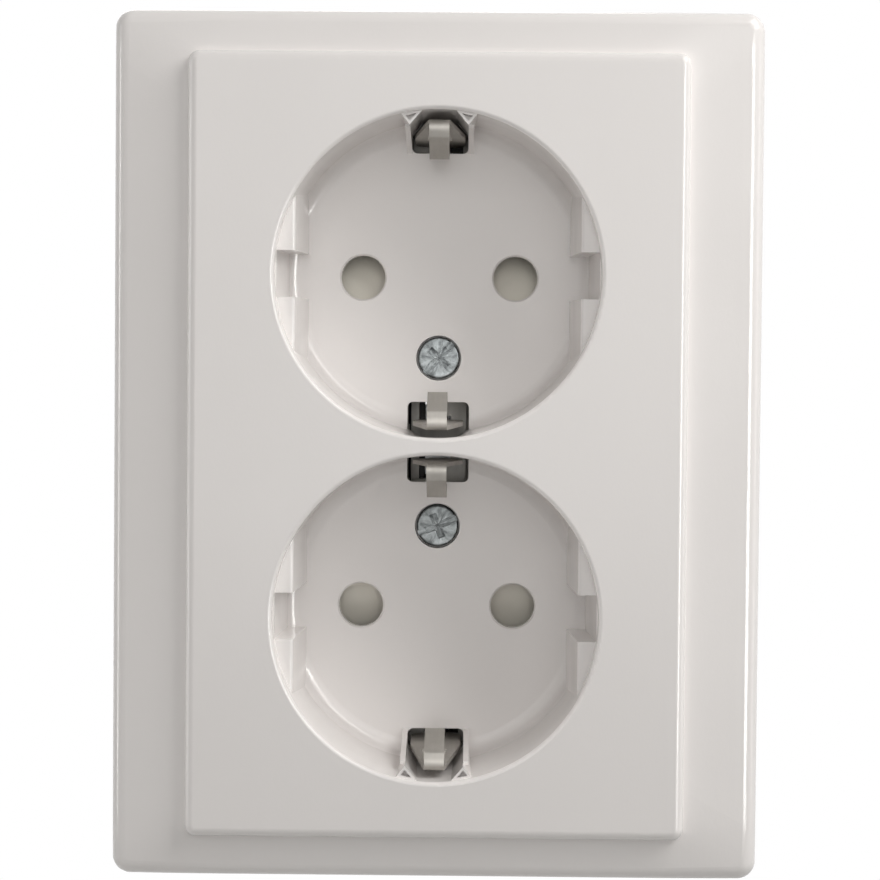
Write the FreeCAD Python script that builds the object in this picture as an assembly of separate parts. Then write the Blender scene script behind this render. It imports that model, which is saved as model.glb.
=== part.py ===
import FreeCAD, Part
import math
import os

# Double earthed wall socket with side contacts, for one oblong wall box.
# Millimetres. X is to the right, Z is up and Y runs into the wall.
# The origin is midway between the two box screws, in the plane of the wall.

V = FreeCAD.Vector
pick_margin = 0.01
os.makedirs("parts", exist_ok=True)

# Outer frame, drops measured back from the front of the plate
frame_end_band = 5.5
frame_edge_drop = 2.9
frame_inner_drop = 1.7
frame_draft = 0.4
frame_corner = 2.2
frame_edge_round = 2.0
frame_mitre_ratio = 7.0
frame_wall = 2.0
ledge_width = 2.6
ledge_thickness = 1.5
frame_rib = 1.2
frame_rib_drop = 2.0
frame_rib_depth = 4.0
foot_length = 8.0

# Centre plate, heights measured out from the wall
plate_front = 15.0
plate_side_margin = 9.0
plate_end_margin = 5.5
plate_corner = 1.3
plate_edge_round = 1.1
plate_skin = 2.0
plate_side_wall = 1.8
plate_seat_height = 9.0
plate_gap = 0.05
plate_rib = 1.2

# Wells
well_radius = 19.5
well_depth = 17.5
well_draft = 0.2
well_wall = 1.3
web_width = 2.04
mouth_round = 0.5
floor_round = 2.0
floor_thickness = 1.6

# Side blocks of the wells, inset from the well wall
block_drop = 2.6
block_top_inset = 2.4
block_floor_inset = 3.2
block_round = 0.35
channel_half_width = 2.8
channel_top_inset = 0.15
channel_floor_inset = 0.9

# Earth clip windows and pockets, inset from the well wall
window_inset = 4.0
window_half_width = 3.85
outer_window_half_width = 3.5
window_round = 0.7
cheek_apex_inset = 1.8
cheek_tip_half_width = 1.95
cheek_base_half_width = 4.5
cheek_drop = 0.9
cheek_wall = 0.28
cheek_hollow = 1.2
gusset_thickness = 0.65
gusset_drop = 5.0
gusset_root = 0.4
recess_depth = 0.5
recess_side_inset = 0.6
passage_half_width = 2.2

# Pins, plug pin holes and contacts
pin_spacing = 19.0
pin_hole_radius = 2.75
pin_hole_chamfer = 0.2
leaf_thickness = 0.6
leaf_width = 5.0
leaf_half_gap = 2.05
leaf_root_half_gap = 2.8
leaf_mouth_half_gap = 3.0
leaf_pinch_drop = 2.9
leaf_bend_drop = 7.4

# Screws
cover_screw_inset = 9.5
cover_screw_hole_radius = 2.825
cover_screw_head_radius = 2.6
cover_screw_head = 2.0
cover_screw_sink = 0.4
cover_screw_radius = 1.5
cover_screw_slot_angles = {"upper": 47.0, "lower": 22.0}
slot_width = 0.7
slot_depth = 0.8
cross_width = 0.9
cross_length = 3.2
cross_depth = 1.3
screw_head_round = 0.3
hole_clearance = 0.2
thread_clearance = 0.05
boss_wall = 1.4
carrier_screw_radius = 1.4
carrier_screw_head_radius = 2.7
carrier_screw_head = 1.8
carrier_screw_length = 9.0
carrier_screw_gap = 0.5

# Shutters
shutter_gap = 0.3
shutter_thickness = 3.5
shutter_travel = 6.0
pad_half_width = 3.2
pad_half_height = 3.2
pad_nose = 0.9
shutter_arm_start = 0.4
shutter_rail_inner = 1.9
shutter_rail_outer = 3.6
shutter_leg_gap = 3.6
shutter_crossbar = 1.4
shutter_relief = 0.2
guide_width = 1.4
guide_margin = 0.4
spring_radius = 1.2
spring_wire_radius = 0.2
spring_turns = 6.0
wire_sides = 6
spring_end_gap = 0.05
stop_half_width = 1.5
stop_thickness = 1.0

# Earth strap and clips
strap_width = 7.0
strap_thickness = 1.0
strap_sink = 0.2
strap_end_margin = 1.2
collar_wall = 1.0
collar_length = 3.0
clip_thickness = 0.5
clip_half_width = 1.2
clip_leg_inset = 2.9
clip_middle_leg_inset = 1.5
clip_head_inset = 1.15
clip_head_depth = 1.55
clip_brow_inset = 3.0
clip_brow_depth = 3.0
clip_knee_inset = 5.43
clip_knee_depth = 8.0
clip_tail_inset = 4.2
clip_tail_depth = 12.0
clip_bend_radius = 0.7
clip_foot_length = 1.9
clip_foot_gap = 0.35
clip_wide_half_width = 3.1
clip_neck_depth = 2.6
clip_wide_depth = 15.0
clip_wide_end_depth = 20.5
clip_root_depth = 21.8
clip_clearance = 0.35
spot_hole = 1.3
spot_margin = 0.1

# Yoke and housing
yoke_thickness = 1.2
yoke_slot_margin = 2.05
yoke_gap = 1.6
yoke_corner = 6.0
yoke_seat_depth = 0.2
yoke_seat_gap = 0.4
yoke_opening_gap = 1.2
box_screw_spacing = 60.0
box_slot_radius = 2.1
box_slot_length = 7.0
rivet_radius = 1.5
rivet_head_radius = 2.6
rivet_head = 0.8
rivet_chamfer = 0.4
rivet_reach = 4.3
flange_thickness = 2.0
flange_margin = 4.0
flange_corner = 5.0
housing_gap = 0.4
housing_wall = 1.5
housing_floor = 2.4
button_reach = 3.8
housing_round = 1.5
carrier_gap = 0.3
carrier_thickness = 3.0
chamber_wall = 0.8
chamber_half_width = 4.9
chamber_width = 8.9
chamber_end_margin = 5.48

# Terminals
busbar_thickness = 0.8
busbar_gap = 0.3
busbar_pad_length = 10.5
busbar_web_margin = 3.02
busbar_web_top = 2.0
wire_hole_radius = 1.9
wire_hole_spacing = 6.4
wire_hole_offset = 2.2
earth_hole_radius = 1.7
earth_hole_spacing = 5.8
earth_hole_offset = 1.9
earth_tab_half_length = 5.5
earth_tab_reach = 13.0
clamp_thickness = 0.5
clamp_half_width = 4.5
clamp_drop = 1.7
clamp_bend_radius = 0.8
clamp_leg = 6.4
clamp_tongue_rise = 3.0
clamp_side_gap = 0.7
button_width = 2.6
button_length = 4.4
button_gap = 0.15
button_proud = 0.8
button_shoulder = 0.6
button_shoulder_height = 1.6
button_tip_gap = 0.35
button_travel = 1.5
button_wall_distance = 1.5

# Values that follow from the ones above
socket_pitch = 2 * well_radius + web_width
half_pitch = socket_pitch / 2
well_outer = well_radius + well_wall
plate_width = 2 * (well_outer + plate_side_margin)
plate_height = 2 * (half_pitch + well_outer + plate_end_margin)
yoke_width = box_screw_spacing + box_slot_length + 2 * yoke_slot_margin
frame_width = yoke_width + 2 * (yoke_gap + frame_wall)
frame_height = plate_height + 2 * frame_end_band
frame_mitre_round = frame_mitre_ratio * frame_end_band
frame_edge_height = plate_front - frame_edge_drop
frame_inner_height = plate_front - frame_inner_drop
front_y = -plate_front
floor_y = front_y + well_depth
floor_back_y = floor_y + floor_thickness
shutter_front_y = floor_back_y + shutter_gap
shutter_back_y = shutter_front_y + shutter_thickness
carrier_y = shutter_back_y + shutter_gap
carrier_back_y = carrier_y + carrier_thickness
strap_y = carrier_y + strap_sink
strap_back_y = strap_y + strap_thickness
side_wall_x = chamber_half_width + chamber_wall
outer_wall_x = side_wall_x + chamber_width
least_screw_x = outer_wall_x + housing_wall + carrier_screw_radius + carrier_screw_gap
housing_inner = max(well_outer, least_screw_x + carrier_screw_head_radius) + housing_gap
carrier_screw_x = housing_inner - housing_gap - carrier_screw_head_radius
housing_outer = housing_inner + housing_wall
chamber_half_length = half_pitch + chamber_end_margin
busbar_web_half_length = half_pitch - busbar_web_margin
pin_x = pin_spacing / 2
cover_screw_offset = well_radius - cover_screw_inset
leg_offset = well_radius - clip_leg_inset
middle_leg_offset = well_radius - clip_middle_leg_inset
shutter_top = leg_offset - shutter_leg_gap
rivet_x = (housing_outer + rivet_reach) * math.sqrt(0.5)
rivet_z = half_pitch + rivet_x
clamp_end_y = carrier_back_y + clamp_drop + clamp_leg
button_tip_y = clamp_end_y + clamp_thickness / 2 + button_travel + button_tip_gap
housing_floor_y = button_tip_y + button_reach
housing_depth = housing_floor_y + housing_floor
flange_width = 2 * (rivet_x + flange_margin)
flange_height = 2 * (rivet_z + flange_margin)
flange_back_y = flange_thickness - yoke_seat_depth
socket_signs = {"upper": 1, "lower": -1}


def box(x0, x1, y0, y1, z0, z1):
    corner = V(min(x0, x1), min(y0, y1), min(z0, z1))
    return Part.makeBox(abs(x1 - x0), abs(y1 - y0), abs(z1 - z0), corner)


def rod(x, z, radius, y0, y1):
    return Part.makeCylinder(radius, y1 - y0, V(x, y0, z), V(0, 1, 0))


def cone(x, z, radius0, radius1, y0, y1):
    return Part.makeCone(radius0, radius1, y1 - y0, V(x, y0, z), V(0, 1, 0))


def prism(points, y0, y1):
    corners = [V(x, y0, z) for x, z in points]
    face = Part.Face(Part.makePolygon(corners + [corners[0]]))
    return face.extrude(V(0, y1 - y0, 0))


def side_prism(points, x0, x1):
    corners = [V(x0, y, z) for y, z in points]
    face = Part.Face(Part.makePolygon(corners + [corners[0]]))
    return face.extrude(V(x1 - x0, 0, 0))


def level_prism(points, z0, z1):
    corners = [V(x, y, z0) for x, y in points]
    face = Part.Face(Part.makePolygon(corners + [corners[0]]))
    return face.extrude(V(0, 0, z1 - z0))


def rounded_wire(width, height, corner, y):
    """Rounded rectangle about the Y axis, in the plane at y."""
    a = width / 2
    b = height / 2
    edges = []
    for sx, sz in [(1, 1), (-1, 1), (-1, -1), (1, -1)]:
        centre = V(sx * (a - corner), y, sz * (b - corner))
        diagonal = V(sx, 0, sz) * (corner * math.sqrt(0.5))
        ends = [centre + V(sx * corner, 0, 0), centre + V(0, 0, sz * corner)]
        if sx * sz < 0:
            ends.reverse()
        edges.append((ends[0], centre + diagonal, ends[1]))
    pieces = []
    for index, (start, middle, end) in enumerate(edges):
        pieces.append(Part.Arc(start, middle, end).toShape())
        following = edges[(index + 1) % len(edges)][0]
        pieces.append(Part.makeLine(end, following))
    return Part.Wire(pieces)


def rounded_prism(width, height, corner, y0, y1):
    return Part.Face(rounded_wire(width, height, corner, y0)).extrude(V(0, y1 - y0, 0))


def stadium(radius, y0, y1):
    """Outline that runs round both socket centres."""
    middle = box(-radius, radius, y0, y1, -half_pitch, half_pitch)
    ends = [rod(0, sign * half_pitch, radius, y0, y1) for sign in (1, -1)]
    return middle.fuse(ends).removeSplitter()


def bent_outline(points, radius, thickness, place):
    """Face of a bent sheet strip: centre line through points, with round bends."""
    sides = {}
    for side in (thickness / 2, -thickness / 2):
        runs = []
        previous = None
        for index, point in enumerate(points):
            here = V(point[0], point[1], 0)
            back = None
            ahead = None
            if index > 0:
                back = (here - V(points[index - 1][0], points[index - 1][1], 0)).normalize()
            if index < len(points) - 1:
                ahead = (V(points[index + 1][0], points[index + 1][1], 0) - here).normalize()
            if back is None or ahead is None:
                along = ahead if back is None else back
                spot = here + V(-along.y, along.x, 0) * side
                if previous is not None:
                    runs.append(("line", previous, spot))
                previous = spot
                continue
            turn = back.x * ahead.y - back.y * ahead.x
            angle = math.acos(max(-1.0, min(1.0, back.dot(ahead))))
            sign = 1 if turn > 0 else -1
            reach = radius * math.tan(angle / 2)
            start = here - back * reach
            end = here + ahead * reach
            centre = start + V(-back.y, back.x, 0) * (radius * sign)
            arc_radius = radius - side * sign
            first = start + V(-back.y, back.x, 0) * side
            last = end + V(-ahead.y, ahead.x, 0) * side
            middle = centre + (here - centre).normalize() * arc_radius
            runs.append(("line", previous, first))
            runs.append(("arc", first, middle, last))
            previous = last
        sides[side] = runs
    upper = sides[thickness / 2]
    lower = sides[-thickness / 2]
    edges = []
    for run in upper + lower:
        spots = [place(spot.x, spot.y) for spot in run[1:]]
        if run[0] == "line":
            edges.append(Part.makeLine(spots[0], spots[1]))
        else:
            edges.append(Part.Arc(spots[0], spots[1], spots[2]).toShape())
    for first, last in ((upper[0][1], lower[0][1]), (upper[-1][-1], lower[-1][-1])):
        edges.append(Part.makeLine(place(first.x, first.y), place(last.x, last.y)))
    return Part.Face(Part.Wire(Part.__sortEdges__(edges)))


def round_edges(shape, radius, wanted):
    chosen = [edge for edge in shape.Edges if wanted(edge)]
    return shape.makeFillet(radius, chosen)


def save(shape, name):
    if len(shape.Solids) == 1:
        shape = shape.Solids[0]
    shape.exportStep("parts/" + name + ".step")


def hipped_block(width, height, inner_height, edge_height):
    """Low block whose face falls from the plate opening to all four sides."""
    lean = frame_draft * edge_height / plate_front
    blocks = []
    for half, top, upright in ((width / 2, plate_width / 2, True), (height / 2, plate_height / 2, False)):
        outline = [
            (-half, 0),
            (lean - half, -edge_height),
            (-top, -inner_height),
            (top, -inner_height),
            (half - lean, -edge_height),
            (half, 0),
        ]
        if upright:
            blocks.append(level_prism(outline, -height, height))
        else:
            blocks.append(side_prism([(y, z) for z, y in outline], -width, width))
    return blocks[0].common(blocks[1])


def is_upright_corner(edge):
    size = edge.BoundBox
    return size.YLength > frame_edge_height / 2 and max(size.XLength, size.ZLength) < 2 * frame_draft


def is_mitre(edge):
    size = edge.BoundBox
    return edge.Curve.TypeId == "Part::GeomLine" and min(size.XLength, size.ZLength) > 2 * frame_draft


def is_frame_rim(edge):
    size = edge.BoundBox
    centre = size.Center
    band = frame_corner + frame_draft
    near_side = abs(centre.x) > frame_width / 2 - band
    near_end = abs(centre.z) > frame_height / 2 - band
    return size.YMax < -frame_edge_height / 2 and (near_side or near_end)


def make_outer_frame():
    outer = hipped_block(frame_width, frame_height, frame_inner_height, frame_edge_height)
    outer = round_edges(outer, frame_corner, is_upright_corner)
    outer = round_edges(outer, frame_mitre_round, is_mitre)
    outer = round_edges(outer, frame_edge_round, is_frame_rim)
    opening_width = plate_width + 2 * plate_gap
    opening_height = plate_height + 2 * plate_gap
    opening_corner = plate_corner + plate_gap
    ledge_back = -plate_seat_height + ledge_thickness
    hollow = hipped_block(
        frame_width - 2 * frame_wall,
        frame_height - 2 * frame_wall,
        frame_inner_height - frame_wall,
        frame_edge_height - frame_wall,
    )
    hollow = round_edges(hollow, frame_corner, is_upright_corner)
    lip = rounded_prism(
        opening_width + 2 * frame_wall,
        opening_height + 2 * frame_wall,
        opening_corner + frame_wall,
        -plate_front,
        ledge_back,
    )
    frame = outer.cut(hollow.cut(lip))
    rib_front = -frame_inner_height + frame_rib_drop
    rib_back = rib_front + frame_rib_depth
    ribs = []
    for sx in (-1, 1):
        for z in (-half_pitch, half_pitch):
            start = sx * (opening_width / 2 + frame_wall / 2)
            end = sx * (frame_width / 2 - frame_wall)
            ribs.append(box(start, end, rib_front, rib_back, z - frame_rib / 2, z + frame_rib / 2))
    for sz in (-1, 1):
        for x in (-half_pitch, half_pitch):
            start = sz * (opening_height / 2 + frame_wall / 2)
            end = sz * (frame_height / 2 - frame_wall)
            ribs.append(box(x - frame_rib / 2, x + frame_rib / 2, rib_front, rib_back, start, end))
    ribs.extend(frame_feet(opening_width, opening_height, ledge_back))
    frame = frame.fuse(ribs)
    upper = rounded_prism(opening_width, opening_height, opening_corner, -plate_front, -plate_seat_height)
    lower = rounded_prism(
        opening_width - 2 * ledge_width,
        opening_height - 2 * ledge_width,
        opening_corner,
        -plate_front,
        frame_wall,
    )
    return frame.cut([upper, lower]).removeSplitter()


def frame_feet(opening_width, opening_height, ledge_back):
    """Short feet under the ledge that stand on the yoke."""
    feet = []
    for sign in (-1, 1):
        for other in (-1, 1):
            side = sign * (opening_width / 2 - ledge_width)
            end = other * half_pitch
            feet.append(box(side, side + sign * frame_wall, ledge_back, -yoke_thickness,
                            end - foot_length / 2, end + foot_length / 2))
    for sign in (-1, 1):
        end = sign * (opening_height / 2 - ledge_width)
        feet.append(box(-foot_length / 2, foot_length / 2, ledge_back, -yoke_thickness,
                        end, end + sign * frame_wall))
    return feet


def well_cavity():
    """The round hollow of one well, about the Y axis, with round mouth and floor edges."""
    bottom = well_radius - well_draft
    quarter = math.sqrt(0.5)
    mouth_start = V(well_radius + mouth_round, front_y, 0)
    mouth_middle = V(
        well_radius + mouth_round * (1 - quarter), front_y + mouth_round * (1 - quarter), 0
    )
    mouth_end = V(well_radius, front_y + mouth_round, 0)
    floor_start = V(bottom, floor_y - floor_round, 0)
    floor_middle = V(
        bottom - floor_round * (1 - quarter), floor_y - floor_round * (1 - quarter), 0
    )
    floor_end = V(bottom - floor_round, floor_y, 0)
    above = front_y - 1
    edges = [
        Part.makeLine(V(0, above, 0), V(well_radius + mouth_round, above, 0)),
        Part.makeLine(V(well_radius + mouth_round, above, 0), mouth_start),
        Part.Arc(mouth_start, mouth_middle, mouth_end).toShape(),
        Part.makeLine(mouth_end, floor_start),
        Part.Arc(floor_start, floor_middle, floor_end).toShape(),
        Part.makeLine(floor_end, V(0, floor_y, 0)),
        Part.makeLine(V(0, floor_y, 0), V(0, above, 0)),
    ]
    return Part.Face(Part.Wire(edges)).revolve(V(0, 0, 0), V(0, 1, 0), 360)


def side_block(sign):
    """One side block with its key channel, on the left or right of a well."""
    reach = well_radius + well_wall
    top = front_y + block_drop
    face = [
        (sign * (well_radius - block_top_inset), top),
        (sign * (well_radius - block_floor_inset), floor_y),
        (sign * reach, floor_y),
        (sign * reach, top),
    ]
    channel = [
        (sign * (well_radius - channel_top_inset), top),
        (sign * (well_radius - channel_floor_inset), floor_y),
        (sign * reach, floor_y),
        (sign * reach, top),
    ]
    block = level_prism(face, -well_radius, well_radius)
    edge_x = well_radius - block_top_inset

    def is_top_edge(edge):
        size = edge.BoundBox
        is_there = abs(abs(size.Center.x) - edge_x) < pick_margin
        return size.YMax < top + pick_margin and size.XLength < pick_margin and is_there

    block = round_edges(block, block_round, is_top_edge)
    slot = box(0, sign * reach, front_y, floor_y, -channel_half_width, channel_half_width)
    key = level_prism(channel, -channel_half_width, channel_half_width)
    return block.cut(slot).fuse(key)


def shrunk(corners, wall):
    """The triangle whose sides lie a wall's thickness inside those of the given one."""
    sides = []
    for index in range(3):
        first = corners[index - 2]
        second = corners[index - 1]
        sides.append(math.dist(first, second))
    around = sum(sides)
    x = sum(side * corner[0] for side, corner in zip(sides, corners)) / around
    z = sum(side * corner[1] for side, corner in zip(sides, corners)) / around
    half = around / 2
    inner_radius = math.sqrt((half - sides[0]) * (half - sides[1]) * (half - sides[2]) / half)
    share = 1 - wall / inner_radius
    return [(x + (corner[0] - x) * share, z + (corner[1] - z) * share) for corner in corners]


def cheeks(outward):
    """Hollow fins and gussets beside an outer earth clip; outward is +1 at the top of a well."""
    fins = []
    top = front_y + cheek_drop
    apex = outward * (well_radius - cheek_apex_inset)
    inner = outward * (well_radius - window_inset)
    for sign in (-1, 1):
        base = math.sqrt(well_radius ** 2 - cheek_base_half_width ** 2)
        near = (sign * outer_window_half_width, apex)
        tip = (sign * cheek_tip_half_width, outward * well_radius)
        foot = (sign * cheek_base_half_width, outward * base)
        outline = [near, tip, (tip[0], outward * well_outer), (foot[0], outward * well_outer), foot]
        fin = prism(outline, top, floor_y)
        fins.append(fin.cut(prism(shrunk([near, tip, foot], cheek_wall), top, top + cheek_hollow)))
        root = apex + outward * gusset_root
        gusset_y = front_y + gusset_drop
        slope = [(gusset_y, apex), (floor_y, inner), (floor_y, root), (gusset_y, root)]
        fins.append(side_prism(slope, near[0], near[0] + sign * gusset_thickness))
    return fins


def clip_window(outward, kind):
    """Hole in the floor for an earth clip, with the recess of the two middle ones."""
    inner = well_radius - window_inset
    side = window_half_width
    if kind == "outer":
        side = outer_window_half_width
        shoulder = well_radius - cheek_apex_inset
        tip = well_radius - well_draft
        half = cheek_tip_half_width
        start = floor_y - floor_round
    elif kind == "narrowing":
        shoulder = well_radius - recess_side_inset
        tip = well_radius + recess_depth
        half = passage_half_width
        start = front_y + plate_skin
    else:
        shoulder = well_radius + recess_depth / 2
        tip = well_radius + recess_depth
        half = window_half_width - recess_depth / 2
        start = front_y + plate_skin
    outline = [
        (-side, outward * inner),
        (side, outward * inner),
        (side, outward * shoulder),
        (half, outward * tip),
        (-half, outward * tip),
        (-side, outward * shoulder),
    ]
    hole = prism(outline, start, floor_back_y)

    def is_inner_corner(edge):
        size = edge.BoundBox
        is_there = abs(abs(size.Center.z) - inner) < pick_margin
        return max(size.XLength, size.ZLength) < pick_margin and is_there

    return round_edges(hole, window_round, is_inner_corner)


def moved(shape, z):
    copy = shape.copy()
    copy.translate(V(0, 0, z))
    return copy


def make_centre_plate():
    shell = rounded_prism(plate_width, plate_height, plate_corner, front_y, -plate_seat_height)
    shell = round_edges(shell, plate_edge_round, lambda edge: edge.BoundBox.YMax < front_y + pick_margin)
    hollow = rounded_prism(
        plate_width - 2 * plate_side_wall,
        plate_height - 2 * plate_side_wall,
        plate_corner / 2,
        front_y + plate_skin,
        -plate_seat_height,
    )
    plate = shell.cut(hollow)
    additions = []
    cuts = []
    for name, sign in socket_signs.items():
        centre = sign * half_pitch
        screw_z = centre - sign * cover_screw_offset
        additions.append(rod(0, centre, well_outer, front_y + plate_skin / 2, floor_back_y))
        boss_radius = cover_screw_hole_radius + boss_wall
        additions.append(rod(0, screw_z, boss_radius, floor_y + floor_thickness / 2, carrier_y))
        stop_z = centre + sign * (shutter_arm_start - shutter_gap)
        stop_front = floor_y + floor_thickness / 2
        stop_end = stop_z - sign * stop_thickness
        half = stop_half_width
        additions.append(box(-half, half, stop_front, shutter_back_y, stop_end, stop_z))
        additions.extend(plate_ribs(centre, sign))
        cavity = well_cavity()
        solids = [side_block(-1), side_block(1)] + cheeks(sign)
        cavity = cavity.cut(solids)
        cuts.append(moved(cavity, centre))
        middle_kind = "narrowing" if name == "upper" else "straight"
        cuts.append(moved(clip_window(sign, "outer"), centre))
        cuts.append(moved(clip_window(-sign, middle_kind), centre))
        for side in (-1, 1):
            cuts.append(rod(side * pin_x, centre, pin_hole_radius, floor_y - 1, floor_back_y + 1))
            cuts.append(cone(side * pin_x, centre, pin_hole_radius + pin_hole_chamfer, pin_hole_radius,
                             floor_y, floor_y + pin_hole_chamfer))
        seat_y = floor_y + cover_screw_sink + cover_screw_head
        cuts.append(rod(0, screw_z, cover_screw_hole_radius, floor_y - 1, seat_y))
        cuts.append(rod(0, screw_z, cover_screw_radius + hole_clearance, floor_y, carrier_y + 1))
    half = passage_half_width
    cuts.append(box(-half, half, front_y + plate_skin, floor_back_y, -web_width, web_width))
    plate = plate.fuse(additions)
    return plate.cut(cuts).removeSplitter()


def plate_ribs(centre, sign):
    """Stiffening ribs from a well to the plate's side walls."""
    top = front_y + plate_skin / 2
    bottom = -plate_seat_height - plate_gap
    half = plate_rib / 2
    inside_x = plate_width / 2 - plate_side_wall / 2
    inside_z = plate_height / 2 - plate_side_wall / 2
    ribs = []
    for side in (-1, 1):
        ribs.append(box(side * well_radius, side * inside_x, top, bottom, centre - half, centre + half))
    wall_z = sign * (half_pitch + well_radius)
    ribs.append(box(-half, half, top, bottom, wall_z, sign * inside_z))
    return ribs


def make_cover_screw(name):
    sign = socket_signs[name]
    z = sign * (half_pitch - cover_screw_offset)
    head_y = floor_y + cover_screw_sink
    seat_y = head_y + cover_screw_head
    head = rod(0, z, cover_screw_head_radius, head_y, seat_y)
    head = round_edges(head, screw_head_round, lambda edge: edge.BoundBox.YMax < head_y + pick_margin)
    screw = head.fuse(rod(0, z, cover_screw_radius, seat_y, strap_back_y + collar_length))
    slot = box(-cover_screw_head_radius, cover_screw_head_radius, head_y, head_y + slot_depth,
               z - slot_width / 2, z + slot_width / 2)
    across = box(-cross_length / 2, cross_length / 2, head_y, head_y + cross_depth,
                 z - cross_width / 2, z + cross_width / 2)
    upright = box(-cross_width / 2, cross_width / 2, head_y, head_y + cross_depth,
                  z - cross_length / 2, z + cross_length / 2)
    recess = slot.fuse([across, upright])
    recess.rotate(V(0, 0, z), V(0, -1, 0), cover_screw_slot_angles[name])
    return screw.cut(recess)


def make_support_yoke():
    height = frame_height - 2 * (frame_wall + yoke_gap)
    yoke = rounded_prism(yoke_width, height, yoke_corner, -yoke_thickness, 0)
    seat = 2 * yoke_seat_gap
    seat_corner = flange_corner + yoke_seat_gap
    cuts = [rounded_prism(flange_width + seat, flange_height + seat, seat_corner, -yoke_seat_depth, 0)]
    for sign in socket_signs.values():
        cuts.append(rod(0, sign * half_pitch, well_outer + yoke_opening_gap, -yoke_thickness, 0))
    for side in (-1, 1):
        x = side * box_screw_spacing / 2
        run = box_slot_length / 2 - box_slot_radius
        cuts.append(rod(x - run, 0, box_slot_radius, -yoke_thickness, 0))
        cuts.append(rod(x + run, 0, box_slot_radius, -yoke_thickness, 0))
        cuts.append(box(x - run, x + run, -yoke_thickness, 0, -box_slot_radius, box_slot_radius))
        for end in (-1, 1):
            cuts.append(rod(side * rivet_x, end * rivet_z, rivet_radius, -yoke_thickness, 0))
    return yoke.cut(cuts).removeSplitter()


def make_yoke_rivets():
    rivets = []
    for side in (-1, 1):
        for end in (-1, 1):
            x = side * rivet_x
            z = end * rivet_z
            front = -yoke_thickness - rivet_head
            top_radius = rivet_head_radius - rivet_chamfer
            head = cone(x, z, top_radius, rivet_head_radius, front, front + rivet_chamfer)
            head = head.fuse(rod(x, z, rivet_head_radius, front + rivet_chamfer, -yoke_thickness))
            shank = rod(x, z, rivet_radius, -yoke_thickness, flange_back_y)
            tail = rod(x, z, rivet_head_radius, flange_back_y, flange_back_y + rivet_head)
            rivets.append(head.fuse([shank, tail]).removeSplitter())
    return Part.makeCompound(rivets)


def wire_holes():
    """Wire entries of all three poles: x, z and radius."""
    holes = []
    for end in (-1, 1):
        for side in (-1, 1):
            x = side * (side_wall_x + wire_hole_offset)
            holes.append((x, end * wire_hole_spacing / 2, wire_hole_radius))
        x = -strap_width / 2 + earth_hole_offset
        holes.append((x, end * earth_hole_spacing / 2, earth_hole_radius))
    return holes


def button_centres():
    line_x = outer_wall_x - button_wall_distance - button_width / 2
    earth_x = chamber_half_width - button_wall_distance - button_width / 2
    return {"line": -line_x, "neutral": line_x, "earth": earth_x}


def make_base_housing():
    flange = rounded_prism(flange_width, flange_height, flange_corner, -yoke_seat_depth, flange_back_y)
    collar = stadium(housing_outer, -yoke_seat_depth, carrier_back_y + housing_wall)
    half_width = outer_wall_x + housing_wall
    half_length = chamber_half_length + housing_wall
    block = rounded_prism(2 * half_width, 2 * half_length, 2 * housing_wall, carrier_y, housing_depth)
    block = round_edges(block, housing_round, lambda edge: edge.BoundBox.YMin > housing_depth - pick_margin)
    bosses = []
    for side in (-1, 1):
        length = carrier_back_y + carrier_screw_length
        x = side * carrier_screw_x
        bosses.append(rod(x, 0, carrier_screw_radius + housing_wall, carrier_y, length))
    housing = flange.fuse([collar, block] + bosses)
    cuts = [stadium(housing_inner, -yoke_seat_depth, carrier_back_y)]
    cuts.append(box(-chamber_half_width, chamber_half_width, carrier_y, housing_floor_y,
                    -chamber_half_length, chamber_half_length))
    for side in (-1, 1):
        cuts.append(box(side * side_wall_x, side * outer_wall_x, carrier_y, housing_floor_y,
                        -chamber_half_length, chamber_half_length))
        depth = carrier_back_y + carrier_screw_length - housing_wall
        x = side * carrier_screw_x
        cuts.append(rod(x, 0, carrier_screw_radius + thread_clearance, carrier_y, depth))
        for end in (-1, 1):
            cuts.append(rod(side * rivet_x, end * rivet_z, rivet_radius, -yoke_seat_depth, flange_back_y))
    for x, z, radius in wire_holes():
        cuts.append(rod(x, z, radius, housing_floor_y, housing_depth))
    for x in button_centres().values():
        half_x = button_width / 2 + button_gap
        half_z = button_length / 2 + button_gap
        cuts.append(box(x - half_x, x + half_x, housing_floor_y, housing_depth, -half_z, half_z))
    return housing.cut(cuts).removeSplitter()


def leg_place(sign, outward):
    """Distance of a clip's leg from the middle of its well."""
    if outward == sign:
        return leg_offset
    return middle_leg_offset


def clip_side_hole(sign, outward, y0, y1):
    """Hole beside a clip's leg: a small one at the right, or a wide one at a middle clip's left."""
    edge = clip_half_width + clip_clearance
    inner = well_radius - window_inset + spot_margin
    if outward == sign:
        start, end, outer = edge, edge + spot_hole, inner + spot_hole
    else:
        start, end, outer = -window_half_width, -edge, middle_leg_offset + clip_thickness
    centre = sign * half_pitch
    return box(start, end, y0, y1, centre + outward * inner, centre + outward * outer)


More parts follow.
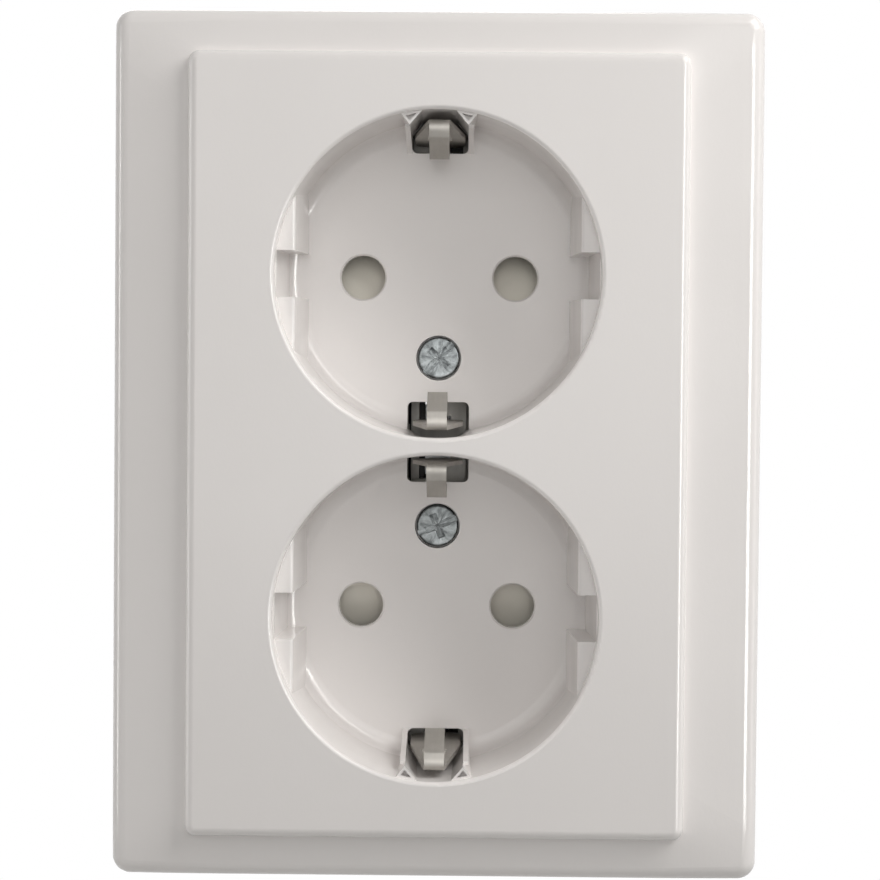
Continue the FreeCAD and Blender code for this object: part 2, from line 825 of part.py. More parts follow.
def make_contact_carrier():
    carrier = stadium(housing_inner - carrier_gap, carrier_y, carrier_back_y)
    guides = []
    for sign in socket_signs.values():
        centre = sign * half_pitch
        low = centre - sign * (shutter_travel + pad_half_height + guide_margin)
        high = centre + sign * (pad_half_height + guide_margin)
        for side in (-1, 1):
            start = side * (pin_x + pad_half_width + shutter_gap)
            guides.append(box(start, start + side * guide_width, shutter_front_y, carrier_y, low, high))
    carrier = carrier.fuse(guides)
    cuts = []
    strap_half = half_pitch + leg_offset + strap_end_margin + clip_clearance
    side = strap_width / 2 + hole_clearance
    cuts.append(box(-side, side, carrier_y, strap_back_y, -strap_half, strap_half))
    half = clip_half_width + clip_clearance
    for sign in socket_signs.values():
        centre = sign * half_pitch
        screw_z = centre - sign * cover_screw_offset
        collar = cover_screw_radius + thread_clearance + collar_wall
        cuts.append(rod(0, screw_z, collar + hole_clearance, carrier_y, carrier_back_y))
        for side in (-1, 1):
            cuts.append(rod(side * pin_x, centre, pin_hole_radius, carrier_y, carrier_back_y))
            cuts.append(cone(side * pin_x, centre, pin_hole_radius + pin_hole_chamfer, pin_hole_radius,
                             carrier_y, carrier_y + pin_hole_chamfer))
        for outward in (-1, 1):
            leg = leg_place(sign, outward)
            inner = centre + outward * (leg - clip_foot_length - clip_clearance)
            outer = centre + outward * (leg + clip_thickness / 2 + clip_clearance)
            cuts.append(box(-half, half, carrier_y, carrier_back_y, inner, outer))
            cuts.append(clip_side_hole(sign, outward, carrier_y, carrier_back_y))
    tab_x = -strap_width / 2
    tab_half = earth_tab_half_length + hole_clearance
    cuts.append(box(tab_x - hole_clearance, tab_x + strap_thickness + hole_clearance,
                    carrier_y, carrier_back_y, -tab_half, tab_half))
    for side in (-1, 1):
        x = side * carrier_screw_x
        cuts.append(rod(x, 0, carrier_screw_radius + hole_clearance, carrier_y, carrier_back_y))
    return carrier.cut(cuts).removeSplitter()


def make_carrier_screws():
    screws = []
    for side in (-1, 1):
        x = side * carrier_screw_x
        front = carrier_y - carrier_screw_head
        edge_y = front + screw_head_round
        top_radius = carrier_screw_head_radius - screw_head_round
        head = cone(x, 0, top_radius, carrier_screw_head_radius, front, edge_y)
        head = head.fuse(rod(x, 0, carrier_screw_head_radius, edge_y, carrier_y))
        end = carrier_back_y + carrier_screw_length - housing_wall - hole_clearance
        shank = rod(x, 0, carrier_screw_radius, carrier_y, end)
        half = cross_length / 2
        across = box(x - half, x + half, front, front + slot_depth, -cross_width / 2, cross_width / 2)
        upright = box(x - cross_width / 2, x + cross_width / 2, front, front + slot_depth, -half, half)
        screws.append(head.fuse(shank).cut([across, upright]))
    return Part.makeCompound(screws)


def make_shutter(name):
    """Slider with two ramps: the plug's pins push it towards the middle of the product."""
    sign = socket_signs[name]
    centre = sign * half_pitch

    def z(offset):
        return centre + sign * offset

    pieces = []
    ramp_back = shutter_back_y - pad_nose
    for side in (-1, 1):
        x0 = side * (pin_x - pad_half_width)
        x1 = side * (pin_x + pad_half_width)
        outline = [
            (shutter_front_y, z(-pad_half_height)),
            (ramp_back, z(pad_half_height)),
            (shutter_back_y, z(pad_half_height)),
            (shutter_back_y, z(-pad_half_height)),
        ]
        pieces.append(side_prism(outline, x0, x1))
        arm_front = shutter_front_y + shutter_relief
        pieces.append(box(side * shutter_rail_inner, side * shutter_rail_outer, arm_front, shutter_back_y,
                          z(shutter_arm_start), z(shutter_top)))
        pieces.append(box(side * shutter_rail_outer, x0 + side * pad_nose, ramp_back, shutter_back_y,
                          z(shutter_arm_start), z(pad_half_height)))
    rail_y = shutter_front_y + shutter_relief
    pieces.append(box(-shutter_rail_outer, shutter_rail_outer, rail_y, shutter_back_y,
                      z(shutter_top - shutter_crossbar), z(shutter_top)))
    return pieces[0].fuse(pieces[1:]).removeSplitter()


def make_shutter_spring(name):
    """Coil between the stop behind the well floor and the crossbar of the shutter."""
    sign = socket_signs[name]
    start = shutter_arm_start - shutter_gap
    end = shutter_top - shutter_crossbar
    margin = spring_wire_radius + spring_end_gap
    height = end - start - 2 * margin
    helix = Part.makeHelix(height / spring_turns, height, spring_radius)
    wire = Part.Wire(helix.Edges)
    corners = []
    for step in range(wire_sides + 1):
        angle = 2 * math.pi * step / wire_sides
        along = spring_radius + spring_wire_radius * math.cos(angle)
        corners.append(V(along, 0, spring_wire_radius * math.sin(angle)))
    profile = Part.makePolygon(corners)
    coil = wire.makePipeShell([profile], True, True)
    if not isinstance(coil, Part.Solid):
        coil = Part.Solid(Part.Shell(coil.Faces))
    if sign < 0:
        coil.rotate(V(0, 0, 0), V(1, 0, 0), 180)
    axis_y = (shutter_front_y + shutter_back_y) / 2
    coil.translate(V(0, axis_y, sign * (half_pitch + start + margin)))
    return coil


def make_earth_strap():
    half = half_pitch + leg_offset + strap_end_margin
    strap = box(-strap_width / 2, strap_width / 2, strap_y, strap_back_y, -half, half)
    adds = []
    cuts = []
    bore = cover_screw_radius + thread_clearance
    for sign in socket_signs.values():
        centre = sign * half_pitch
        screw_z = centre - sign * cover_screw_offset
        adds.append(rod(0, screw_z, bore + collar_wall, strap_y, strap_back_y + collar_length))
        cuts.append(rod(0, screw_z, bore, strap_y, strap_back_y + collar_length))
        for outward in (-1, 1):
            z = centre + outward * leg_place(sign, outward)
            half_x = clip_half_width + clip_clearance
            half_z = clip_thickness / 2 + clip_clearance
            cuts.append(box(-half_x, half_x, strap_y, strap_back_y, z - half_z, z + half_z))
            cuts.append(clip_side_hole(sign, outward, strap_y, strap_back_y))
    tab_x = -strap_width / 2
    adds.append(box(tab_x, tab_x + strap_thickness, strap_y, strap_back_y + earth_tab_reach,
                    -earth_tab_half_length, earth_tab_half_length))
    return strap.fuse(adds).cut(cuts).removeSplitter()


def make_earth_clip(sign, outward):
    """Bent spring sheet: a leg that tapers to a strip, which turns over at the front to a knee."""
    centre = sign * half_pitch
    foot_y = strap_back_y + clip_foot_gap + clip_thickness / 2
    leg = leg_place(sign, outward)
    path = [
        (leg - clip_foot_length, foot_y),
        (leg, foot_y),
        (well_radius - clip_head_inset, front_y + clip_head_depth),
        (well_radius - clip_brow_inset, front_y + clip_brow_depth),
        (well_radius - clip_knee_inset + clip_thickness / 2, front_y + clip_knee_depth),
        (well_radius - clip_tail_inset, front_y + clip_tail_depth),
    ]
    outline = bent_outline(path, clip_bend_radius, clip_thickness,
                           lambda d, y: V(-clip_wide_half_width, y, centre + outward * d))
    sheet = outline.extrude(V(2 * clip_wide_half_width, 0, 0))
    strip = box(-clip_half_width, clip_half_width, front_y, foot_y + clip_thickness,
                centre, centre + outward * well_radius)
    sides = []
    for x in (-1, 1):
        sides.append((x * clip_half_width, front_y + clip_neck_depth))
        sides.append((x * clip_wide_half_width, front_y + clip_wide_depth))
        sides.append((x * clip_wide_half_width, front_y + clip_wide_end_depth))
        sides.append((x * clip_half_width, front_y + clip_root_depth))
    taper = level_prism(sides[:4] + sides[:3:-1], centre + outward * (leg - clip_thickness),
                        centre + outward * well_radius)
    return sheet.common(strip.fuse(taper)).removeSplitter()


def make_busbar(side):
    """Line or neutral strip: a plug contact at each end, a clamping web in the middle."""
    web_x = side * (side_wall_x + busbar_gap)
    pieces = [box(web_x, web_x + side * busbar_thickness, carrier_back_y + busbar_web_top, housing_floor_y,
                  -busbar_web_half_length, busbar_web_half_length)]
    floor_front = housing_floor_y - busbar_thickness
    half = leaf_width / 2
    outer_x = side * (pin_x + leaf_root_half_gap + leaf_thickness)
    for sign in (-1, 1):
        z = sign * half_pitch
        pieces.append(box(web_x, outer_x, floor_front, housing_floor_y,
                          z + sign * half, z + sign * (half - busbar_pad_length)))
        for lean in (-1, 1):
            middle = leaf_thickness / 2
            path = [
                (lean * (leaf_root_half_gap + middle), floor_front + busbar_thickness / 2),
                (lean * (leaf_root_half_gap + middle), carrier_back_y + leaf_bend_drop),
                (lean * (leaf_half_gap + middle), carrier_back_y + leaf_pinch_drop),
                (lean * (leaf_mouth_half_gap + middle), carrier_back_y + leaf_thickness),
            ]
            face = bent_outline(path, clip_bend_radius, leaf_thickness,
                                lambda x, y: V(side * pin_x + x, y, z - half))
            pieces.append(face.extrude(V(0, 0, leaf_width)))
    return pieces[0].fuse(pieces[1:]).removeSplitter()


def make_terminal_spring(pole):
    """Bent leaf that holds the wires against the busbar or the earth tab."""
    start_y = carrier_back_y + clamp_drop
    if pole == "earth":
        side = 1
        near = -strap_width / 2 + strap_thickness + busbar_gap
        far = chamber_half_width - clamp_side_gap
        tongue = near + earth_hole_radius
    else:
        side = -1 if pole == "line" else 1
        near = side_wall_x + busbar_gap + busbar_thickness + busbar_gap
        far = outer_wall_x - clamp_side_gap
        tongue = near + earth_hole_radius
    path = [(near, start_y), (far, start_y), (far, clamp_end_y), (tongue, clamp_end_y - clamp_tongue_rise)]
    face = bent_outline(path, clamp_bend_radius, clamp_thickness,
                        lambda x, y: V(side * x, y, -clamp_half_width))
    return face.extrude(V(0, 0, 2 * clamp_half_width))


def make_release_button(pole):
    x = button_centres()[pole]
    half_x = button_width / 2
    half_z = button_length / 2
    stem = box(x - half_x, x + half_x, button_tip_y, housing_depth + button_proud, -half_z, half_z)
    back = housing_floor_y - button_gap
    wide_x = half_x + button_shoulder
    wide_z = half_z + button_shoulder
    shoulder = box(x - wide_x, x + wide_x, back - button_shoulder_height, back, -wide_z, wide_z)
    return stem.fuse(shoulder).removeSplitter()


save(make_outer_frame(), "outer_frame")
save(make_centre_plate(), "centre_plate")
save(make_support_yoke(), "support_yoke")
save(make_yoke_rivets(), "yoke_rivets")
save(make_base_housing(), "base_housing")
save(make_contact_carrier(), "contact_carrier")
save(make_carrier_screws(), "carrier_screws")
save(make_earth_strap(), "earth_strap")
for socket, sign in socket_signs.items():
    save(make_cover_screw(socket), "cover_screw_" + socket)
    save(make_shutter(socket), "shutter_" + socket)
    save(make_shutter_spring(socket), "shutter_spring_" + socket)
    for end, outward in (("top", 1), ("bottom", -1)):
        save(make_earth_clip(sign, outward), "earth_clip_" + socket + "_" + end)
save(make_busbar(-1), "line_busbar")
save(make_busbar(1), "neutral_busbar")
for pole in ("line", "neutral", "earth"):
    save(make_terminal_spring(pole), pole + "_terminal_spring")
    save(make_release_button(pole), pole + "_release_button")
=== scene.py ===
import math

import bpy
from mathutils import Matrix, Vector


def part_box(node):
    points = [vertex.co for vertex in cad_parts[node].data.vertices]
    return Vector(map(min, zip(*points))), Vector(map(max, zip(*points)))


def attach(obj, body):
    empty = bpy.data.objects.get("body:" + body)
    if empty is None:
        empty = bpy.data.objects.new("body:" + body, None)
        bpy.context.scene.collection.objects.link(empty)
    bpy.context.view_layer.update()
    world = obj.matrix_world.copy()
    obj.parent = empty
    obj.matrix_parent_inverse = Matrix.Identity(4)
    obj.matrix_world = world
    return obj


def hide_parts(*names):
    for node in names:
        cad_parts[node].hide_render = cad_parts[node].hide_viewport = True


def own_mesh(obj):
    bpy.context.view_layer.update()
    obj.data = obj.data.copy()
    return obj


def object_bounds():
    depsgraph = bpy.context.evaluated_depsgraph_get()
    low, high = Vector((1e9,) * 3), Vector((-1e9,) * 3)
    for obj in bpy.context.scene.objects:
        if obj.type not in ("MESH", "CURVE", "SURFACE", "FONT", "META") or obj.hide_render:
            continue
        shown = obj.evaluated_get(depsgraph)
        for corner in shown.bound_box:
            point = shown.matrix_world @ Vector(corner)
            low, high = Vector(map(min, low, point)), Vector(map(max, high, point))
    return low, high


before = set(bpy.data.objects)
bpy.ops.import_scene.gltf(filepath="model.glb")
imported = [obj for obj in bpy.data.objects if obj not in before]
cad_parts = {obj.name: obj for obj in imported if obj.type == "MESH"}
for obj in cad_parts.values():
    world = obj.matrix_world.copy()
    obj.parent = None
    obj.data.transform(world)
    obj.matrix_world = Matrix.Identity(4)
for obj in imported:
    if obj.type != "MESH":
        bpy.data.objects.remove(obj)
cad_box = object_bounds()

# Camera, fitted to the photo's outlines: place in metres, turn in degrees, lens and sensor in millimetres
CAMERA_PLACE = (0.003516, -0.326245, 0.011355)
CAMERA_TURN = (88.0669, -0.4827, 0.5859)
CAMERA_LENS = 107.384
SENSOR = 36.0
CAMERA_CLIP_START = 0.01

# Lamps: angle from the wall's normal and angle round it from the right in degrees, power in watts,
# width and height in metres. All look at the middle of the part from the same distance.
LAMPS = {
    "window": (68.0, 46.0, 1.52, 0.30, 0.30),
    "front": (12.0, 70.0, 0.44, 0.30, 0.30),
    "side": (50.0, 20.0, 0.15, 0.30, 0.30),
    "far": (50.0, 135.0, 0.15, 0.30, 0.30),
    "left": (80.0, 180.0, 0.14, 0.30, 0.30),
    "left_strip": (84.0, 180.0, 0.36, 0.045, 0.24),
    "right_strip": (84.0, 0.0, 0.14, 0.045, 0.24),
    "tube": (39.0, 2.0, 1.20, 0.075, 0.26),
    "rear": (140.0, 110.0, 0.5, 0.30, 0.30),
}
# Lamps that only reflections show
GLOSS_LAMPS = ("tube",)
LAMP_DISTANCE = 0.45
WARM_WHITE = (1.0, 0.985, 0.965)
AMBIENT = 0.03

# Floor, in metres; the last figure is the share of plain white that the camera sees in it
FLOOR_DROP = 0.25
FLOOR_SIZE = 1.2
FLOOR_COLOURS = ((0.78, 0.78, 0.77), (0.82, 0.82, 0.81))
FLOOR_ROUGHNESS = 0.7
FLOOR_WHITE = 0.7

# Coils that stand for the shutter springs
COIL_TURNS = 6
COIL_STEPS = 24
WIRE_SIDES = 10
WIRE_RADIUS = 0.0002

# Lips behind the earth strap, dark pieces of painted shade for the gap there, in metres: their middle
# from the strap's left end, from the carrier's back and from the socket's middle, then their size and the
# rounding of their edges
SHADE_LIP_FROM_STRAP = 0.00135
SHADE_LIP_BEHIND = 0.00045
SHADE_LIP_HEIGHT_PLACE = 0.00385
SHADE_LIP_SIZE = (0.00080, 0.0004, 0.0052)
SHADE_LIP_ROUND = 0.0001
SHADE_LIP_ROUND_SEGMENTS = 2

# Spans of a noise value that the roughness and the colours use
NOISE_SPAN = (0.3, 0.7)
COLOUR_SPAN = (0.35, 0.65)

# Stretches of the noise along X, Y and Z: a low figure draws the marks out along that axis
EVEN = (1.0, 1.0, 1.0)
FLOW = (1.0, 1.0, 0.6)
DRAWN = (1.0, 0.08, 0.08)
ROLLED = (1.0, 1.0, 0.05)

# Noises: scale and detail, and for some the share of the finer layers
FLOW_MARKS = (28.0, 3.0)
UNEVEN_GLOSS = (90.0, 4.0)
SKIN_DETAIL = 2.0
LINE_DETAIL = 3.0
BLOTCHES = (260.0, 4.0, 0.6)
STREAKS = (2.6, 5.0, 0.65)
HEAD_GRAIN = (1500.0, 3.0)
FLOOR_TONE = (3.0, 4.0)
# Change of a screw's streaks with the distance from its middle, in noise units a metre
STREAK_CHANGE = 220.0

# Bumps: distance in metres and strength
SKIN_BUMP = (0.00003, 0.25)
LINE_BUMP = (0.00001, 0.25)
STREAK_BUMP = (0.0002, 0.5)

PLASTIC_IOR = 1.5
HEAD_ROUGHNESS = (0.3, 0.5)

# Plastics: name, darker and lighter colour, span of roughness, scale of the skin
COVER_WHITES = ((0.87, 0.842, 0.826), (0.89, 0.862, 0.846))
PLASTICS = {
    "frame": ("frame_white_gloss", *COVER_WHITES, (0.16, 0.22), 2600.0),
    "cover": ("cover_white_gloss", *COVER_WHITES, (0.18, 0.25), 2600.0),
    "housing": ("housing_dark", (0.045, 0.043, 0.041), (0.06, 0.057, 0.054), (0.42, 0.55), 1500.0),
    "carrier": ("carrier_grey", (0.42, 0.40, 0.37), (0.47, 0.45, 0.42), (0.4, 0.5), 1500.0),
    "shutter": ("shutter_cream", (0.88, 0.85, 0.76), (0.92, 0.89, 0.80), (0.3, 0.4), 1800.0),
    "button": ("button_grey", (0.52, 0.52, 0.51), (0.57, 0.57, 0.56), (0.35, 0.45), 1800.0),
}

# Metals: name, darker and lighter colour, span of roughness, stretch and scale of the lines, metal share
METALS = {
    "clip": ("clip_nickel", (0.40, 0.381, 0.352), (0.46, 0.44, 0.407), (0.45, 0.58), DRAWN, 2600.0, 0.6),
    "screw": ("screw_zinc", (0.15, 0.162, 0.165), (0.24, 0.255, 0.258), (0.34, 0.5), EVEN, 3000.0, 1.0),
    "yoke": ("yoke_zinc", (0.55, 0.56, 0.57), (0.64, 0.65, 0.66), (0.35, 0.5), ROLLED, 1600.0, 1.0),
    "strap": ("strap_tinned", (0.34, 0.33, 0.31), (0.41, 0.395, 0.37), (0.45, 0.6), ROLLED, 1600.0, 0.7),
    "brass": ("contact_brass", (0.66, 0.47, 0.22), (0.74, 0.55, 0.28), (0.3, 0.42), ROLLED, 1600.0, 1.0),
    "spring": ("spring_bright", (0.56, 0.56, 0.56), (0.64, 0.64, 0.64), (0.28, 0.4), EVEN, 2400.0, 1.0),
}

# Screw heads: name, node with their middle, darker and lighter colour
SCREW_HEADS = {
    "upper_head": ("screw_head_upper", "cover_screw_upper", (0.10, 0.108, 0.11), (0.31, 0.332, 0.336)),
    "lower_head": ("screw_head_lower", "cover_screw_lower", (0.085, 0.092, 0.092), (0.26, 0.275, 0.277)),
}

NODE_MATERIALS = {
    "outer_frame": "frame",
    "centre_plate": "cover",
    "support_yoke": "yoke",
    "yoke_rivets": "yoke",
    "base_housing": "housing",
    "contact_carrier": "carrier",
    "carrier_screws": "screw",
    "earth_strap": "strap",
    "cover_screw_upper": "upper_head",
    "cover_screw_lower": "lower_head",
    "shutter_spring_upper": "spring",
    "shutter_spring_lower": "spring",
    "line_busbar": "brass",
    "neutral_busbar": "brass",
    "line_terminal_spring": "spring",
    "neutral_terminal_spring": "spring",
    "earth_terminal_spring": "spring",
    "shutter_upper": "shutter",
    "shutter_lower": "shutter",
    "earth_clip_upper_top": "clip",
    "earth_clip_upper_bottom": "clip",
    "earth_clip_lower_top": "clip",
    "earth_clip_lower_bottom": "clip",
    "line_release_button": "button",
    "neutral_release_button": "button",
    "earth_release_button": "button",
}


def new_material(name):
    """An empty node material with its shader and output in place."""
    material = bpy.data.materials.new(name)
    material.use_nodes = True
    nodes = material.node_tree.nodes
    nodes.clear()
    output = nodes.new("ShaderNodeOutputMaterial")
    shader = nodes.new("ShaderNodeBsdfPrincipled")
    material.node_tree.links.new(shader.outputs["BSDF"], output.inputs["Surface"])
    return material, nodes, material.node_tree.links, shader


def calculation(nodes, kind, operation):
    """A Math or Vector Math node, set to one operation."""
    node = nodes.new(kind)
    node.operation = operation
    return node


def object_coordinates(nodes, links, scale):
    """Object coordinates, stretched by scale, one figure for each axis."""
    coordinates = nodes.new("ShaderNodeTexCoord")
    mapping = nodes.new("ShaderNodeMapping")
    mapping.inputs["Scale"].default_value = scale
    links.new(coordinates.outputs["Object"], mapping.inputs["Vector"])
    return mapping.outputs["Vector"]


def noise(nodes, links, vector, scale, detail, roughness=0.5):
    """Layered noise at a place; roughness is the share of the finer layers."""
    texture = nodes.new("ShaderNodeTexNoise")
    texture.inputs["Scale"].default_value = scale
    texture.inputs["Detail"].default_value = detail
    texture.inputs["Roughness"].default_value = roughness
    links.new(vector, texture.inputs["Vector"])
    return texture.outputs["Fac"]


def spread(nodes, links, value, low, high):
    """Turns a value around 0.5 into one between low and high."""
    mapped = nodes.new("ShaderNodeMapRange")
    mapped.inputs["From Min"].default_value = NOISE_SPAN[0]
    mapped.inputs["From Max"].default_value = NOISE_SPAN[1]
    mapped.inputs["To Min"].default_value = low
    mapped.inputs["To Max"].default_value = high
    links.new(value, mapped.inputs["Value"])
    return mapped.outputs["Result"]


def blend_colours(nodes, links, value, first, second):
    """Turns a value around 0.5 into a colour between two."""
    ramp = nodes.new("ShaderNodeValToRGB")
    for element, position, colour in zip(ramp.color_ramp.elements, COLOUR_SPAN, (first, second)):
        element.position = position
        element.color = (*colour, 1.0)
    links.new(value, ramp.inputs["Fac"])
    return ramp.outputs["Color"]


def bump(nodes, links, shader, height, distance, strength):
    """Gives the shader a fine relief that follows a height value."""
    node = nodes.new("ShaderNodeBump")
    node.inputs["Distance"].default_value = distance
    node.inputs["Strength"].default_value = strength
    links.new(height, node.inputs["Height"])
    links.new(node.outputs["Normal"], shader.inputs["Normal"])


def moulded_plastic(name, first, second, rough, grain):
    """Moulded plastic: faint flow marks in the colour, uneven gloss, fine skin."""
    material, nodes, links, shader = new_material(name)
    flow = object_coordinates(nodes, links, FLOW)
    marks = noise(nodes, links, flow, *FLOW_MARKS)
    colour = blend_colours(nodes, links, marks, first, second)
    links.new(colour, shader.inputs["Base Color"])
    gloss = noise(nodes, links, flow, *UNEVEN_GLOSS)
    links.new(spread(nodes, links, gloss, *rough), shader.inputs["Roughness"])
    skin = noise(nodes, links, flow, grain, SKIN_DETAIL)
    bump(nodes, links, shader, skin, *SKIN_BUMP)
    shader.inputs["IOR"].default_value = PLASTIC_IOR
    return material


def plated_metal(name, first, second, rough, along, scale, metallic):
    """Plated or rolled metal: fine lines along one axis and a little blotching."""
    material, nodes, links, shader = new_material(name)
    lines = noise(nodes, links, object_coordinates(nodes, links, along), scale, LINE_DETAIL)
    blotches = noise(nodes, links, object_coordinates(nodes, links, EVEN), *BLOTCHES)
    colour = blend_colours(nodes, links, blotches, first, second)
    links.new(colour, shader.inputs["Base Color"])
    shader.inputs["Metallic"].default_value = metallic
    links.new(spread(nodes, links, lines, *rough), shader.inputs["Roughness"])
    bump(nodes, links, shader, lines, *LINE_BUMP)
    return material


def radial_coordinates(nodes, links, node):
    """Directions round the middle of a node, with the distance from it along Y."""
    low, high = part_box(node)
    shift = calculation(nodes, "ShaderNodeVectorMath", "SUBTRACT")
    shift.inputs[1].default_value = ((low[0] + high[0]) / 2, 0.0, (low[2] + high[2]) / 2)
    links.new(object_coordinates(nodes, links, EVEN), shift.inputs[0])
    flat = calculation(nodes, "ShaderNodeVectorMath", "MULTIPLY")
    flat.inputs[1].default_value = (1.0, 0.0, 1.0)
    links.new(shift.outputs[0], flat.inputs[0])
    direction = calculation(nodes, "ShaderNodeVectorMath", "NORMALIZE")
    links.new(flat.outputs[0], direction.inputs[0])
    length = calculation(nodes, "ShaderNodeVectorMath", "LENGTH")
    links.new(flat.outputs[0], length.inputs[0])
    distance = calculation(nodes, "ShaderNodeMath", "MULTIPLY")
    distance.inputs[1].default_value = STREAK_CHANGE
    links.new(length.outputs["Value"], distance.inputs[0])
    along = nodes.new("ShaderNodeCombineXYZ")
    links.new(distance.outputs[0], along.inputs["Y"])
    joined = calculation(nodes, "ShaderNodeVectorMath", "ADD")
    links.new(direction.outputs[0], joined.inputs[0])
    links.new(along.outputs[0], joined.inputs[1])
    return joined.outputs[0]


def struck_metal(name, node, first, second):
    """Plated screw head with marks that run outward from its middle."""
    material, nodes, links, shader = new_material(name)
    streaks = noise(nodes, links, radial_coordinates(nodes, links, node), *STREAKS)
    links.new(blend_colours(nodes, links, streaks, first, second), shader.inputs["Base Color"])
    shader.inputs["Metallic"].default_value = 1.0
    grain = noise(nodes, links, object_coordinates(nodes, links, EVEN), *HEAD_GRAIN)
    links.new(spread(nodes, links, grain, *HEAD_ROUGHNESS), shader.inputs["Roughness"])
    bump(nodes, links, shader, streaks, *STREAK_BUMP)
    return material


def make_materials():
    """All materials of the part, by the names that NODE_MATERIALS uses."""
    materials = {}
    for kind, figures in PLASTICS.items():
        materials[kind] = moulded_plastic(*figures)
    for kind, figures in METALS.items():
        materials[kind] = plated_metal(*figures)
    for kind, figures in SCREW_HEADS.items():
        materials[kind] = struck_metal(*figures)
    return materials


def dress_nodes(materials):
    """Gives each solid its material."""
    for node, kind in NODE_MATERIALS.items():
        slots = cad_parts[node].data.materials
        slots.clear()
        slots.append(materials[kind])


def make_painted_shade_lips(material):
    """Two small dark lips behind the earth strap, beside the middle clips' legs: painted shade.

    They close the view through the gap beside the earth tab and stand in for the deep shade in that gap.
    """
    carrier_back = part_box("contact_carrier")[1][1]
    strap_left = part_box("earth_strap")[0][0]
    for name, side in (("painted_shade_lip_upper", 1), ("painted_shade_lip_lower", -1)):
        centre = Vector((strap_left + SHADE_LIP_FROM_STRAP, carrier_back + SHADE_LIP_BEHIND, side * SHADE_LIP_HEIGHT_PLACE))
        bpy.ops.mesh.primitive_cube_add(size=1.0)
        shade_lip = bpy.context.active_object
        shade_lip.name = name
        shade_lip.data.name = name
        for vertex in shade_lip.data.vertices:
            vertex.co = centre + Vector([size * place for size, place in zip(SHADE_LIP_SIZE, vertex.co)])
        edge = shade_lip.modifiers.new("edge", "BEVEL")
        edge.width = SHADE_LIP_ROUND
        edge.segments = SHADE_LIP_ROUND_SEGMENTS
        shade_lip.data.materials.append(material)
        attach(shade_lip, "body")


def coil_mesh(name, low, high):
    """A closed coil of round wire that fills the box between two corners, with its axis along Z."""
    outer = (high[0] - low[0]) / 2
    centre = Vector(((low[0] + high[0]) / 2, (low[1] + high[1]) / 2, 0.0))
    turn_radius = outer - WIRE_RADIUS
    height = high[2] - low[2] - 2 * WIRE_RADIUS
    steps = COIL_TURNS * COIL_STEPS
    vertices = []
    for step in range(steps + 1):
        angle = 2 * math.pi * step / COIL_STEPS
        outward = Vector((math.cos(angle), math.sin(angle), 0.0))
        middle = centre + outward * turn_radius
        middle.z = low[2] + WIRE_RADIUS + height * step / steps
        for side in range(WIRE_SIDES):
            turn = 2 * math.pi * side / WIRE_SIDES
            ring = outward * math.cos(turn) + Vector((0.0, 0.0, 1.0)) * math.sin(turn)
            vertices.append(middle + ring * WIRE_RADIUS)
    faces = []
    for step in range(steps):
        for side in range(WIRE_SIDES):
            first = step * WIRE_SIDES + side
            second = step * WIRE_SIDES + (side + 1) % WIRE_SIDES
            faces.append((first, first + WIRE_SIDES, second + WIRE_SIDES, second))
    faces.append(tuple(range(WIRE_SIDES)))
    faces.append(tuple(steps * WIRE_SIDES + side for side in reversed(range(WIRE_SIDES))))
    mesh = bpy.data.meshes.new(name)
    mesh.from_pydata(vertices, [], faces)
    mesh.shade_smooth()
    return mesh


def make_shutter_coils(material):
    """Round-wire coils that fill the boxes of the shutter springs, which they replace and hide."""
    for place in ("upper", "lower"):
        node = "shutter_spring_" + place
        name = "shutter_coil_" + place
        low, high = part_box(node)
        coil = bpy.data.objects.new(name, coil_mesh(name, low, high))
        bpy.context.collection.objects.link(coil)
        coil.data.materials.append(material)
        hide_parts(node)
        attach(coil, "body")
        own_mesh(coil)


def white_to_camera(nodes, links, shade, white_type, share):
    """Mixes a shade with plain white for camera, glossy and transmission rays."""
    rays = nodes.new("ShaderNodeLightPath")
    white = nodes.new(white_type)
    white.inputs["Color"].default_value = (1.0, 1.0, 1.0, 1.0)
    white.inputs["Strength"].default_value = 1.0
    direct = calculation(nodes, "ShaderNodeMath", "MAXIMUM")
    links.new(rays.outputs["Is Camera Ray"], direct.inputs[0])
    links.new(rays.outputs["Is Transmission Ray"], direct.inputs[1])
    seen = calculation(nodes, "ShaderNodeMath", "MAXIMUM")
    links.new(direct.outputs[0], seen.inputs[0])
    links.new(rays.outputs["Is Glossy Ray"], seen.inputs[1])
    part = calculation(nodes, "ShaderNodeMath", "MULTIPLY")
    part.inputs[1].default_value = share
    links.new(seen.outputs[0], part.inputs[0])
    mix = nodes.new("ShaderNodeMixShader")
    links.new(part.outputs[0], mix.inputs["Fac"])
    links.new(shade, mix.inputs[1])
    links.new(white.outputs[0], mix.inputs[2])
    return mix.outputs[0]


def make_world():
    """White to the camera and in reflections, and a faint soft light for the rest."""
    world = bpy.data.worlds.new("studio")
    world.use_nodes = True
    bpy.context.scene.world = world
    nodes = world.node_tree.nodes
    links = world.node_tree.links
    nodes.clear()
    output = nodes.new("ShaderNodeOutputWorld")
    soft = nodes.new("ShaderNodeBackground")
    soft.inputs["Color"].default_value = (*WARM_WHITE, 1.0)
    soft.inputs["Strength"].default_value = AMBIENT
    shade = white_to_camera(nodes, links, soft.outputs["Background"], "ShaderNodeBackground", 1.0)
    links.new(shade, output.inputs["Surface"])


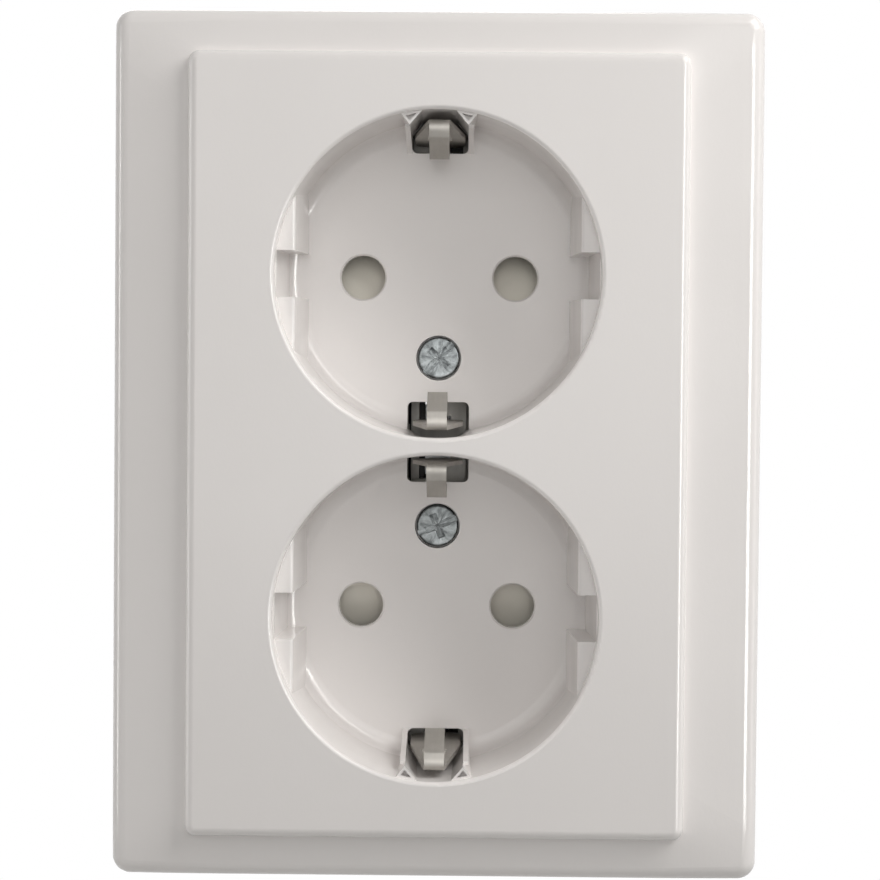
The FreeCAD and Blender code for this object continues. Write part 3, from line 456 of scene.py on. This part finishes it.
def make_lamp(name, from_normal, round_normal, power, width, height):
    """A flat soft lamp that looks at the middle of the part."""
    data = bpy.data.lights.new(name, "AREA")
    data.shape = "RECTANGLE"
    data.size = width
    data.size_y = height
    data.energy = power
    data.color = WARM_WHITE
    tilt = math.radians(from_normal)
    turn = math.radians(round_normal)
    across = LAMP_DISTANCE * math.sin(tilt)
    place = Vector((across * math.cos(turn), -LAMP_DISTANCE * math.cos(tilt), across * math.sin(turn)))
    lamp = bpy.data.objects.new(name, data)
    lamp.location = place
    lamp.rotation_euler = (-place).to_track_quat("-Z", "Y").to_euler()
    lamp.visible_diffuse = name not in GLOSS_LAMPS
    bpy.context.collection.objects.link(lamp)


def make_floor(low):
    """A plain pale floor below the part, whose lowest height is low."""
    mesh = bpy.data.meshes.new("floor")
    half = FLOOR_SIZE / 2
    height = low - FLOOR_DROP
    corners = [(-half, -half, height), (half, -half, height), (half, half, height), (-half, half, height)]
    mesh.from_pydata(corners, [], [(0, 1, 2, 3)])
    floor = bpy.data.objects.new("floor", mesh)
    bpy.context.collection.objects.link(floor)
    material, nodes, links, shader = new_material("floor_pale")
    tone = noise(nodes, links, object_coordinates(nodes, links, EVEN), *FLOOR_TONE)
    links.new(blend_colours(nodes, links, tone, *FLOOR_COLOURS), shader.inputs["Base Color"])
    shader.inputs["Roughness"].default_value = FLOOR_ROUGHNESS
    output = next(node for node in nodes if node.bl_idname == "ShaderNodeOutputMaterial")
    shade = white_to_camera(nodes, links, shader.outputs["BSDF"], "ShaderNodeEmission", FLOOR_WHITE)
    links.new(shade, output.inputs["Surface"])
    mesh.materials.append(material)


def make_camera():
    """The camera at the photo's viewing angle."""
    data = bpy.data.cameras.new("camera")
    data.sensor_width = SENSOR
    data.lens = CAMERA_LENS
    data.clip_start = CAMERA_CLIP_START
    camera = bpy.data.objects.new("camera", data)
    camera.location = CAMERA_PLACE
    camera.rotation_euler = [math.radians(angle) for angle in CAMERA_TURN]
    bpy.context.collection.objects.link(camera)
    bpy.context.scene.camera = camera


bpy.context.scene.view_settings.view_transform = "Standard"
materials = make_materials()
dress_nodes(materials)
# The lips take the dark housing plastic as painted shade in the gap beside the earth tab
make_painted_shade_lips(materials["housing"])
make_shutter_coils(materials["spring"])
make_world()
for lamp_name, figures in LAMPS.items():
    make_lamp(lamp_name, *figures)
make_floor(cad_box[0][2])
make_camera()
